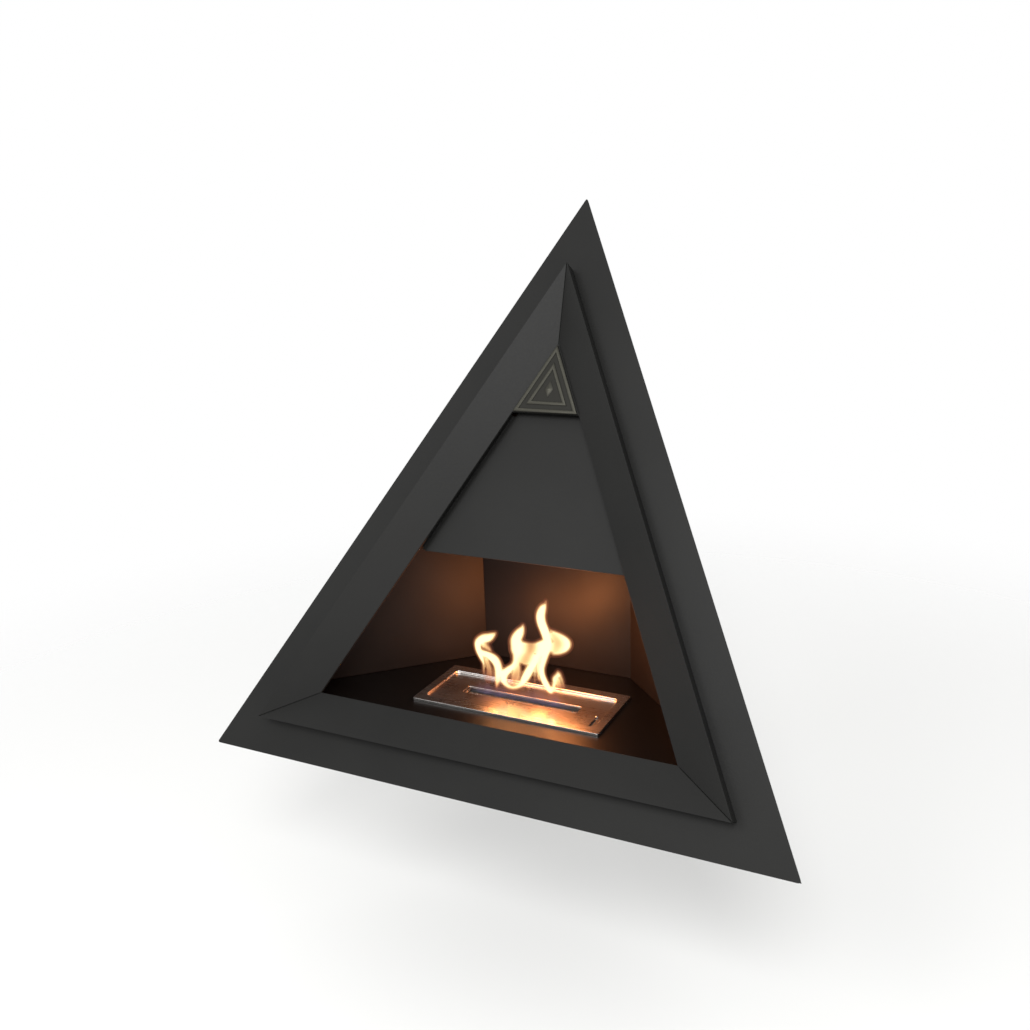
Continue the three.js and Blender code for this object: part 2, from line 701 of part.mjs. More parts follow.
for (const [side, name] of [[-1, "left"], [1, "right"]]) {
  place(`wall_plate_${name}`, wallPlate(side), coat);
  place(`firebox_side_${name}`, fireboxSide(side), innerCoat);
  place(`standoff_lower_${name}`, standoff(side, LOWER_STANDOFF_ALONG, LOWER_STANDOFF_UP), zinc);
  place(`standoff_upper_${name}`, standoff(side, UPPER_STANDOFF_ALONG, UPPER_STANDOFF_UP), zinc);
  place(`visor_bracket_${name}`, visorBracket(side), coat, face);
  place(`visor_stud_${name}`, visorStud(side), zinc, face);
  const visorNut = nut(
    VISOR_STUD_RADIUS + GAP,
    side * VISOR_STUD_SPREAD,
    VISOR_STUD_UP,
    -VISOR_REAR - GAP - NUT_HEIGHT,
  );
  place(`visor_nut_${name}`, visorNut, zinc, face);
  const emblemNut = nut(
    EMBLEM_STUD_RADIUS + GAP,
    side * EMBLEM_STUD_SPREAD,
    emblemStudUp(),
    -GAP - NUT_HEIGHT,
  );
  place(`emblem_nut_${name}`, emblemNut, zinc, face);
  place(`shutter_runner_${name}`, shutterRunner(side), stainless, burner);
}

place("burner_tray", burnerTray(), stainless, burner);
place("burner_tank", burnerTank(), stainless, burner);
place("ceramic_wool", ceramicWool(), ceramic, burner);
place("slot_grille", slotGrille(), stainless, burner);
place("shutter_plate", shutterPlate(), stainless, shutter);
place("shutter_pin", shutterPin(), stainless, shutter);

export default fireplace;
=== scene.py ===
"""Finishes, pressed burner tray, cast emblem, flames and studio of a wall-hung corner fireplace."""

import json
import math

import bpy
import numpy as np
import openvdb
from mathutils import Matrix, Vector


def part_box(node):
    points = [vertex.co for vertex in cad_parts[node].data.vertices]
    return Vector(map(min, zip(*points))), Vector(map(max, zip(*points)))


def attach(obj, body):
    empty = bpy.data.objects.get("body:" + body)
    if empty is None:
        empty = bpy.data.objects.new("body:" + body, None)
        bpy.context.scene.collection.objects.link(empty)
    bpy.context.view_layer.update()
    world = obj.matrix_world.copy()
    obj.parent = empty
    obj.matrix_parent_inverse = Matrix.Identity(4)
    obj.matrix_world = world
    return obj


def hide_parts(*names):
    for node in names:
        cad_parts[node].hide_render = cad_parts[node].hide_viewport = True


bl_info = {
    "name": "Corner Fireplace",
    "version": (1, 0, 0),
    "blender": (4, 5, 0),
    "location": "View3D > Sidebar > Fireplace",
    "description": "Dresses a corner fireplace: coat, firebox, burner, emblem, flames and studio",
    "category": "Add Mesh",
}

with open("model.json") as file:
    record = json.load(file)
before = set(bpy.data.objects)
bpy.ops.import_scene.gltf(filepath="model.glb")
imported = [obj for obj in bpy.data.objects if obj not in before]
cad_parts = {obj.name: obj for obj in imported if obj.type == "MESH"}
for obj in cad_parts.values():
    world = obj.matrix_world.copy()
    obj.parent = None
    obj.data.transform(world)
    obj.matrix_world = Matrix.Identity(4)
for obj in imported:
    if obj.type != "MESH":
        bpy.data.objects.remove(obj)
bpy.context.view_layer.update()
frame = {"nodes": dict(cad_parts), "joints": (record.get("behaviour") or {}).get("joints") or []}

TRAY_LOW, TRAY_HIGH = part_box("burner_tray")
TRAY_MIDDLE = (TRAY_LOW + TRAY_HIGH) / 2
HEARTH_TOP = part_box("hearth_plate")[1].z

# Where the tray's turned-down edge ends, just off the hearth, and rounding of small parts.
TRAY_SEAT = HEARTH_TOP + 0.0003
SMALL_EDGE = 0.0003


# ---------------------------------------------------------------- settings


def length(name, description, default):
    return bpy.props.FloatProperty(
        name=name, description=description, default=default, min=0.0, unit="LENGTH", precision=4
    )


def share(name, description, default):
    return bpy.props.FloatProperty(
        name=name, description=description, default=default, min=0.0, max=1.0, subtype="FACTOR"
    )


def colour(name, description, default):
    return bpy.props.FloatVectorProperty(
        name=name,
        description=description,
        default=default,
        min=0.0,
        max=1.0,
        size=3,
        subtype="COLOR",
    )


class CoatSettings(bpy.types.PropertyGroup):
    """Powder coat of the face, border, visor and casing, and paint of the firebox"""

    tone: colour("Coat", "Charcoal powder coat", (0.0085, 0.0085, 0.0079))
    heat_paint: colour("Firebox paint", "Heat-proof paint inside", (0.0055, 0.0037, 0.0027))
    roughness: share("Roughness", "Roughness of the matt coat", 0.5)
    edge: length("Edge", "Rounding of the sheets' edges", 0.0006)


class EmblemSettings(bpy.types.PropertyGroup):
    """Cast relief plate in the tip of the opening"""

    base_width: length("Face width", "Face's base, from wall to wall", 0.9)
    height: length("Face height", "Base to the face's tip", 0.8)
    opening_inset: length("Opening inset", "Edge of the face to the opening", 0.106)
    plate_height: length("Plate height", "Opening's tip down to the plate's edge", 0.11)
    side_gap: length("Side gap", "Plate to the opening's edge", 0.0015)
    rear: length("Rear", "Face's inner surface to the plate's back", 0.0033)
    sheet: length("Sheet", "Thickness of the ground", 0.0024)
    relief: length("Relief", "Height of the ridges above the ground", 0.0018)
    pitch: length("Pitch", "From the outer nested triangle to the inner one", 0.012)
    ridge: length("Ridge", "Width of a ridge", 0.0055)
    lozenge_width: length("Lozenge width", "Width of the middle boss", 0.015)
    lozenge_height: length("Lozenge height", "Height of the middle boss", 0.028)
    high: colour("Rubbed metal", "Colour of the ridges", (0.05, 0.0485, 0.039))
    low: colour("Ground", "Colour of the recesses", (0.016, 0.0155, 0.0125))


class BurnerSettings(bpy.types.PropertyGroup):
    """Pressed stainless tray, its slot and its pin"""

    rim_end: length("Rim end", "Tray's end to the pan", 0.0135)
    rim_side: length("Rim side", "Tray's long side to the pan", 0.017)
    pan_depth: length("Pan depth", "Rim's top to the pan's floor", 0.004)
    pan_round: length("Pan round", "Pan's corner radius", 0.007)
    tray_round: length("Tray round", "Tray's corner radius", 0.003)
    sheet: length("Sheet", "Tray's sheet", 0.0015)
    slot_length: length("Slot length", "Burning slot's length", 0.188)
    slot_width: length("Slot width", "Burning slot's width", 0.022)
    slot_round: length("Slot round", "Slot's corner radius", 0.003)
    edge: length("Edge", "Rounding of the tray's outer edge", 0.0005)
    press: length("Press", "Rounding of the pan's pressed edge", 0.0017)
    pin_stem: length("Pin stem", "Radius of the shutter pin's stem", 0.0015)
    slit: length("Slit", "Half the width of the pin's slit", 0.0019)
    steel: colour("Steel", "Brushed stainless steel", (0.55, 0.53, 0.51))


class FlameSettings(bpy.types.PropertyGroup):
    """Flames of the alcohol burner and the light that they give"""

    thickness: share("Thickness", "Front-to-back thickness as a share of the width", 0.6)
    grid: length("Grid", "Step of the grid that the flames are made on", 0.00125)
    halo: share("Halo", "Solidity of the warm haze round the flames", 0.05)
    glow: share("Glow", "Solidity of the flames' outer glow", 0.18)
    body: share("Body", "Solidity of the flames' body", 0.42)
    heart: share("Heart", "Solidity of the flames' bright heart", 0.9)
    brightness: bpy.props.FloatProperty(
        name="Brightness", description="Emission strength", default=1.8, min=0.0
    )
    power: bpy.props.FloatProperty(
        name="Power", description="Power of the firelight", default=0.7, min=0.0, unit="POWER"
    )
    lamp_setback: length("Lamp setback", "Slot's middle line to the lamps, towards the back", 0.034)
    light: colour("Firelight", "Colour of the light that the flames give", (1.0, 0.31, 0.09))


class StudioSettings(bpy.types.PropertyGroup):
    """Floor, lights and camera"""

    floor_drop: length("Floor drop", "Casing's underside down to the floor", 0.33)
    floor_reach: length("Floor reach", "Radius of the floor", 3.0)
    floor_tone: colour("Floor", "Pale floor", (0.76, 0.76, 0.75))
    daylight: bpy.props.FloatProperty(
        name="Daylight", description="Strength of the white surround", default=1.0, min=0.0
    )
    camera_place: bpy.props.FloatVectorProperty(
        name="Camera",
        description="Camera's place",
        default=(0.6396, -1.5418, 0.7644),
        subtype="XYZ",
    )
    camera_target: bpy.props.FloatVectorProperty(
        name="Target",
        description="Point in the picture's middle",
        default=(0.0005, -0.285, 0.369),
        subtype="XYZ",
    )
    camera_tilt: bpy.props.FloatProperty(
        name="Tilt",
        description="Turn of the camera about its axis",
        default=math.radians(-1.95),
        subtype="ANGLE",
    )
    lens: bpy.props.FloatProperty(
        name="Lens", description="Focal length in millimetres on a 36 mm sensor", default=36.07
    )


# ---------------------------------------------------------------- shader nodes


class Value:
    """A shader socket that stands in a Python expression."""

    def __init__(self, finish, socket):
        self.finish = finish
        self.socket = socket

    def __add__(self, other):
        return self.finish.maths("ADD", self, other)

    def __sub__(self, other):
        return self.finish.maths("SUBTRACT", self, other)

    def __rsub__(self, other):
        return self.finish.maths("SUBTRACT", other, self)

    def __mul__(self, other):
        return self.finish.maths("MULTIPLY", self, other)

    def __truediv__(self, other):
        return self.finish.maths("DIVIDE", self, other)

    __radd__ = __add__


class Finish:
    """A material under construction."""

    def __init__(self, name):
        self.material = bpy.data.materials.new(name)
        self.material.use_nodes = True
        self.tree = self.material.node_tree
        self.tree.nodes.clear()

    def node(self, kind, settings=None, inputs=None, output=0):
        """Adds a node: its settings first, then the values or links of its sockets."""
        made = self.tree.nodes.new(kind)
        for key, value in (settings or {}).items():
            if key == "stops":
                while len(made.color_ramp.elements) < len(value):
                    made.color_ramp.elements.new(1.0)
                for element, (place, tone) in zip(made.color_ramp.elements, value):
                    element.position = place
                    element.color = (*tone, 1.0)
            else:
                setattr(made, key, value)
        for key, value in (inputs or {}).items():
            if isinstance(value, Value):
                self.tree.links.new(value.socket, made.inputs[key])
            else:
                made.inputs[key].default_value = value
        return Value(self, made.outputs[output]) if made.outputs else None

    def maths(self, operation, *values):
        return self.node("ShaderNodeMath", {"operation": operation}, dict(enumerate(values)))

    def clamp(self, value):
        return self.node("ShaderNodeClamp", None, {0: value})

    def step(self, value, low, high):
        """0 below low, 1 above high and smooth between them."""
        settings = {"interpolation_type": "SMOOTHSTEP"}
        inputs = {"Value": value, "From Min": low, "From Max": high}
        return self.node("ShaderNodeMapRange", settings, inputs)

    def mix(self, factor, first, second):
        first, second = (v if isinstance(v, Value) else (*v, 1.0) for v in (first, second))
        inputs = {0: factor, 6: first, 7: second}
        return self.node("ShaderNodeMix", {"data_type": "RGBA"}, inputs, 2)

    def place(self):
        return self.node("ShaderNodeTexCoord", output="Object")

    def along(self, axis):
        """One object coordinate: 0 across, 1 into the corner, 2 up."""
        return self.node("ShaderNodeSeparateXYZ", None, {0: self.place()}, axis)

    def vectors(self, operation, first, second=(0.0, 0.0, 0.0), output=0):
        inputs = {0: first, 1: second}
        return self.node("ShaderNodeVectorMath", {"operation": operation}, inputs, output)

    def stretched(self, scale):
        """Object coordinates times a scale along each axis."""
        return self.vectors("MULTIPLY", self.place(), scale)

    def noise(self, scale, detail=2.0, place=None, distortion=0.0):
        inputs = {"Vector": place or self.place(), "Scale": scale}
        inputs.update({"Detail": detail, "Distortion": distortion})
        return self.node("ShaderNodeTexNoise", None, inputs)

    def bump(self, height, strength, distance):
        inputs = {"Height": height, "Strength": strength, "Distance": distance}
        return self.node("ShaderNodeBump", None, inputs)

    def surface(self, **sockets):
        """The Principled shader, with underscores for the spaces in its socket names."""
        inputs = {key.replace("_", " "): value for key, value in sockets.items()}
        for key, value in inputs.items():
            if isinstance(value, tuple) and len(value) == 3:
                inputs[key] = (*value, 1.0)
        shader = self.node("ShaderNodeBsdfPrincipled", None, inputs)
        self.node("ShaderNodeOutputMaterial", None, {"Surface": shader})
        return self.material


def shade(tone, factor):
    """A colour made darker or lighter by a factor."""
    return tuple(min(1.0, factor * part) for part in tone)


def powder_coat(settings):
    """Matt powder coat: fine stipple over a faint orange peel, with a slow drift of tone."""
    f = Finish("powder_coat")
    stipple = f.noise(1500.0)
    peel = f.noise(320.0)
    drift = f.noise(6.0, 4.0)
    mottle = f.step(drift * 0.7 + stipple * 0.3, 0.35, 0.65)
    return f.surface(
        Base_Color=f.mix(mottle, shade(settings.tone, 0.86), shade(settings.tone, 1.16)),
        Roughness=settings.roughness - 0.06 + peel * 0.07 + drift * 0.06,
        Normal=f.bump(stipple * 0.6 + peel, 0.22, 0.0004),
        IOR=1.5,
        Specular_IOR_Level=0.19,
    )


def heat_paint(settings, name, depth, roughness, gloss):
    """Heat-proof paint of the firebox: flat, browned in clouds, with painted shade that darkens it
    towards the top, under the visor.
    """
    f = Finish(name)
    clean = shade(settings.heat_paint, depth)
    # Painted shade: a dark tone, and the heights where it starts and where it is full, for the
    # shade under the visor.
    painted_shade_tone = (0.004, 0.0036, 0.0032)
    painted_shade_starts, painted_shade_full = 0.2, 0.45
    grain = f.noise(1100.0)
    cloud = f.noise(9.0, 5.0, distortion=0.4)
    painted_shade = f.step(f.along(2) + cloud * 0.08, painted_shade_starts, painted_shade_full)
    browned = f.mix(cloud, clean, shade(clean, 1.5))
    return f.surface(
        # The painted shade darkens the paint towards the top of the firebox.
        Base_Color=f.mix(painted_shade * 0.6, browned, painted_shade_tone),
        Roughness=roughness + cloud * 0.12,
        Normal=f.bump(grain, 0.2, 0.0004),
        IOR=1.5,
        Specular_IOR_Level=gloss,
    )


def relief_metal(settings, base, up):
    """Dark cast metal: ridges rubbed lighter, recesses left dark, with the skin of a casting."""
    f = Finish("relief_metal")
    skin = f.noise(900.0, 3.0)
    patina = f.noise(70.0, 4.0)
    offset = f.vectors("SUBTRACT", f.place(), base)
    rise = f.vectors("DOT_PRODUCT", offset, up, "Value")
    rubbed = f.step(rise / settings.relief + (patina - 0.5) * 0.5, 0.1, 1.0)
    return f.surface(
        Base_Color=f.mix(rubbed, settings.low, settings.high),
        Metallic=0.35 + rubbed * 0.4,
        Roughness=0.56 - rubbed * 0.14 + skin * 0.08,
        Specular_IOR_Level=0.25,
        Normal=f.bump(skin + patina * 0.6, 0.35, 0.0005),
    )


def brushed_steel(name, tone, grain, tint=0.0):
    """Stainless steel brushed along X; tint browns it near the burning slot."""
    f = Finish(name)
    brown_full, brown_ends = 0.008, 0.034
    fine = f.noise(1.0, place=f.stretched((9.0, 2600.0, 2600.0)))
    broad = f.noise(1.0, place=f.stretched((2.5, 420.0, 420.0)))
    smudge = f.noise(28.0, 4.0, distortion=0.6)
    brushed = fine * 0.6 + broad * 0.4
    bare = f.mix(brushed, shade(tone, 0.82), shade(tone, 1.12))
    off_slot = f.maths("ABSOLUTE", f.along(1) - TRAY_MIDDLE.y)
    near = 1 - f.step(off_slot + smudge * 0.01, brown_full, brown_ends)
    browned = (0.62 * tone[0], 0.44 * tone[1], 0.33 * tone[2])
    return f.surface(
        Base_Color=f.mix(near * tint, bare, browned),
        Metallic=1.0,
        Roughness=grain - 0.05 + brushed * 0.1 + smudge * 0.08,
        Normal=f.bump(brushed, 0.1, 0.0003),
    )


def zinc_plate():
    """Zinc-plated small parts: bright, a little blue, with a cloudy grain."""
    f = Finish("zinc_plate")
    spangle = f.node("ShaderNodeTexVoronoi", None, {"Vector": f.place(), "Scale": 420.0}, "Color")
    patch = f.node("ShaderNodeSeparateColor", None, {0: spangle})
    cloud = f.noise(160.0, 3.0)
    return f.surface(
        Base_Color=f.mix(patch * 0.5 + cloud * 0.5, (0.36, 0.37, 0.39), (0.6, 0.62, 0.64)),
        Metallic=0.95,
        Roughness=0.3 + cloud * 0.2,
        Normal=f.bump(cloud, 0.15, 0.0003),
    )


def ceramic_fibre():
    """Felted ceramic wool: short tangled fibres, scorched at the top."""
    f = Finish("ceramic_fibre")
    tangle = f.noise(700.0, 6.0, distortion=2.5)
    clump = f.noise(120.0, 3.0)
    scorch_starts, scorch_full = HEARTH_TOP - 0.013, HEARTH_TOP - 0.006
    scorch = f.step(f.along(2) + clump * 0.006, scorch_starts, scorch_full)
    clean = f.mix(tangle, (0.62, 0.59, 0.53), (0.86, 0.84, 0.8))
    return f.surface(
        Base_Color=f.mix(scorch * 0.7, clean, (0.1, 0.085, 0.075)),
        Roughness=0.95,
        Normal=f.bump(tangle + clump, 0.8, 0.0015),
    )


def burning_gas(settings):
    """Glowing gas: dusky blue where it is coolest, then orange, yellow and nearly white."""
    f = Finish("burning_gas")
    warmth = f.node("ShaderNodeAttribute", {"attribute_name": "warmth"}, output="Fac")
    solid = f.node("ShaderNodeAttribute", {"attribute_name": "solid"}, output="Fac")
    stops = (
        (0.0, (0.1, 0.08, 0.17)),
        (0.12, (0.2, 0.1, 0.12)),
        (0.3, (0.9, 0.26, 0.13)),
        (0.45, (0.95, 0.42, 0.18)),
        (0.62, (0.98, 0.64, 0.26)),
        (0.8, (1.0, 0.82, 0.43)),
        (1.0, (1.0, 0.92, 0.53)),
    )
    glow = f.node("ShaderNodeValToRGB", {"stops": stops}, {0: warmth})
    black = (0.0, 0.0, 0.0)
    material = f.surface(
        Base_Color=black,
        Roughness=1.0,
        Specular_IOR_Level=0.0,
        Alpha=f.clamp(solid),
        Emission_Color=glow,
        Emission_Strength=settings.brightness,
    )
    material.cycles.emission_sampling = "NONE"
    return material


def studio_floor(settings):
    """Pale floor that fades out with its distance from the fireplace."""
    f = Finish("studio_floor")
    reach = f.vectors("LENGTH", f.stretched((1.0, 1.0, 0.0)), output="Value")
    fade = 1 - f.step(reach, 0.2 * settings.floor_reach, 0.8 * settings.floor_reach)
    return f.surface(Base_Color=tuple(settings.floor_tone), Roughness=0.9, Alpha=fade)


# ---------------------------------------------------------------- meshes

WELD_REACH = 1e-5


def new_piece(name, vertices, faces, material, body, stands_for=()):
    """A mesh that rides on a body and may stand for CAD nodes."""
    mesh = bpy.data.meshes.new(name)
    mesh.from_pydata([tuple(v) for v in vertices], [], faces)
    mesh.validate()
    mesh.materials.append(material)
    piece = bpy.data.objects.new(name, mesh)
    bpy.context.scene.collection.objects.link(piece)
    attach(piece, body)
    if stands_for:
        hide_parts(*stands_for)
    return piece


def smooth(piece, angle):
    """Smooth shading, but for edges sharper than the angle in degrees."""
    piece.data.shade_smooth()
    piece.data.set_sharp_from_angle(angle=math.radians(angle))
    level = piece.modifiers.new("level_normals", "WEIGHTED_NORMAL")
    level.keep_sharp = True


def dress(node, material, edge=0.0):
    """Gives a CAD node its finish and, with modifiers alone, softly rounded edges."""
    piece = frame["nodes"][node]
    piece.data.materials.clear()
    piece.data.materials.append(material)
    if edge:
        corners = piece.modifiers.new("joined_corners", "WELD")
        corners.merge_threshold = WELD_REACH
        faces = piece.modifiers.new("whole_faces", "DECIMATE")
        faces.decimate_type = "DISSOLVE"
        faces.angle_limit = math.radians(1)
        rounding = piece.modifiers.new("rounded_edges", "BEVEL")
        rounding.width = edge
        rounding.segments = 2
        rounding.limit_method = "ANGLE"
        rounding.angle_limit = math.radians(40)


def rounded_ring(half_length, half_width, radius, height, steps=8):
    """Points of a rectangle with round corners, anticlockwise, at one height."""
    ring = []
    for side_x, side_y, start in ((1, 1, 0), (-1, 1, 90), (-1, -1, 180), (1, -1, 270)):
        for step in range(steps + 1):
            turn = math.radians(start + 90 * step / steps)
            x = side_x * (half_length - radius) + radius * math.cos(turn)
            y = side_y * (half_width - radius) + radius * math.sin(turn)
            ring.append((x, y, height))
    return ring


def ring_faces(count, rings, closed):
    """Quads between neighbouring rings, and from the last back to the first where closed."""
    faces = []
    for ring in range(rings if closed else rings - 1):
        low, high = ring * count, (ring + 1) % rings * count
        for i in range(count):
            n = (i + 1) % count
            faces.append((low + i, low + n, high + n, high + i))
    return faces


def arc(centre, radius, start, end, steps=4):
    """Points of an arc as (out, up), angles in degrees."""
    turns = [math.radians(start + (end - start) * i / steps) for i in range(steps + 1)]
    return [(centre[0] + radius * math.cos(t), centre[1] + radius * math.sin(t)) for t in turns]


# ---------------------------------------------------------------- the leaning face


class FacePlane:
    """The leaning face: x across, y up the slope from the middle of the base, z out of the face."""

    def __init__(self, settings):
        depth = settings.base_width / 2
        self.half_base = depth
        self.slope = math.hypot(settings.height, depth)
        self.half_tip = math.atan2(depth, self.slope)
        lean = math.atan2(settings.height, depth)
        self.matrix = Matrix.Translation((0, -depth, 0)) @ Matrix.Rotation(lean, 4, "X")

    def tip(self, inset):
        return self.slope - inset / math.sin(self.half_tip)

    def half_width(self, up, inset):
        return self.half_base * (1 - up / self.slope) - inset / math.cos(self.half_tip)

    def triangle(self, base, inset, out):
        """A triangle that lies inside the face, its base at one height up the slope."""
        half = self.half_width(base, inset)
        corners = ((-half, base), (half, base), (0, self.tip(inset)))
        return [self.matrix @ Vector((x, y, out)) for x, y in corners]


class FIREPLACE_OT_emblem(bpy.types.Operator):
    """Cast the relief plate: two nested ridges round a pointed lozenge"""

    bl_idname = "fireplace.emblem"
    bl_label = "Emblem"

    def execute(self, context):
        s = context.scene.fireplace_emblem
        face = FacePlane(s)
        base = face.tip(s.opening_inset) - s.plate_height
        ground = s.rear + s.sheet
        half_ridge = s.ridge / 2
        fillet = 0.1 * half_ridge
        profile = [(0.0, s.rear), (0.0, ground + 0.5 * s.relief)]
        for start in (0.0, s.pitch):
            middle = start + half_ridge
            for turn in map(math.radians, (155, 130, 105, 75, 50, 25)):
                across = half_ridge * math.cos(turn)
                profile.append((middle + across, ground + s.relief * math.sin(turn)))
            profile.append((middle + half_ridge + fillet, ground))
            if not start:
                profile.append((s.pitch - fillet, ground))
        vertices = []
        for inset, out in profile:
            vertices += face.triangle(base + inset, s.opening_inset + s.side_gap + inset, out)
        faces = ring_faces(3, len(profile), closed=False)
        last = 3 * (len(profile) - 1)
        faces += [(last, last + 1, last + 2), (2, 1, 0)]
        first = len(vertices)
        middle = base + s.plate_height / 3
        wide, high = s.lozenge_width / 2, s.lozenge_height / 2
        lozenge = ((0, -high), (wide, 0), (0, high), (-wide, 0))
        # Share of the lozenge's width, and height above the ground.
        levels = ((1.0, -0.0002), (0.92, 0.4 * s.relief), (0.0, 1.5 * s.relief))
        for width, rise in levels:
            for x, y in lozenge:
                point = (x * width, middle + y * width, ground + rise)
                vertices.append(face.matrix @ Vector(point))
        faces += [tuple(first + i for i in quad) for quad in ring_faces(4, 3, closed=False)]
        up = (face.matrix.to_3x3() @ Vector((0, 0, 1))).normalized()
        origin = face.matrix @ Vector((0, 0, ground))
        material = relief_metal(s, origin, up)
        piece = new_piece(
            "emblem_relief", vertices, faces, material, "casing", ("emblem_plate",)
        )
        smooth(piece, 50)
        return {"FINISHED"}


class FIREPLACE_OT_coat(bpy.types.Operator):
    """Coat the face, its border, the visor and the casing"""

    bl_idname = "fireplace.coat"
    bl_label = "Powder coat"

    nodes = (
        "face_flange",
        "bezel_left",
        "bezel_right",
        "bezel_bottom",
        "visor_panel",
        "wall_plate_left",
        "wall_plate_right",
        "casing_bottom",
        "corner_angle",
        "visor_bracket_left",
        "visor_bracket_right",
    )

    def execute(self, context):
        settings = context.scene.fireplace_coat
        material = powder_coat(settings)
        for node in self.nodes:
            dress(node, material, settings.edge)
        return {"FINISHED"}


class FIREPLACE_OT_firebox(bpy.types.Operator):
    """Paint the hearth and the panels round the fire"""

    bl_idname = "fireplace.firebox"
    bl_label = "Firebox"

    def execute(self, context):
        settings = context.scene.fireplace_coat
        panels = heat_paint(settings, "heat_paint", depth=1.0, roughness=0.43, gloss=0.19)
        hearth = heat_paint(settings, "hearth_paint", depth=0.3, roughness=0.32, gloss=0.3)
        for node in ("firebox_back", "firebox_side_left", "firebox_side_right"):
            dress(node, panels, settings.edge)
        dress("hearth_plate", hearth, settings.edge)
        return {"FINISHED"}


class FIREPLACE_OT_fasteners(bpy.types.Operator):
    """Plate the studs, nuts and stand-offs"""

    bl_idname = "fireplace.fasteners"
    bl_label = "Fasteners"

    def execute(self, context):
        material = zinc_plate()
        for node in frame["nodes"]:
            if node.startswith(("visor_stud", "visor_nut", "emblem_nut", "standoff")):
                dress(node, material, SMALL_EDGE)
        return {"FINISHED"}


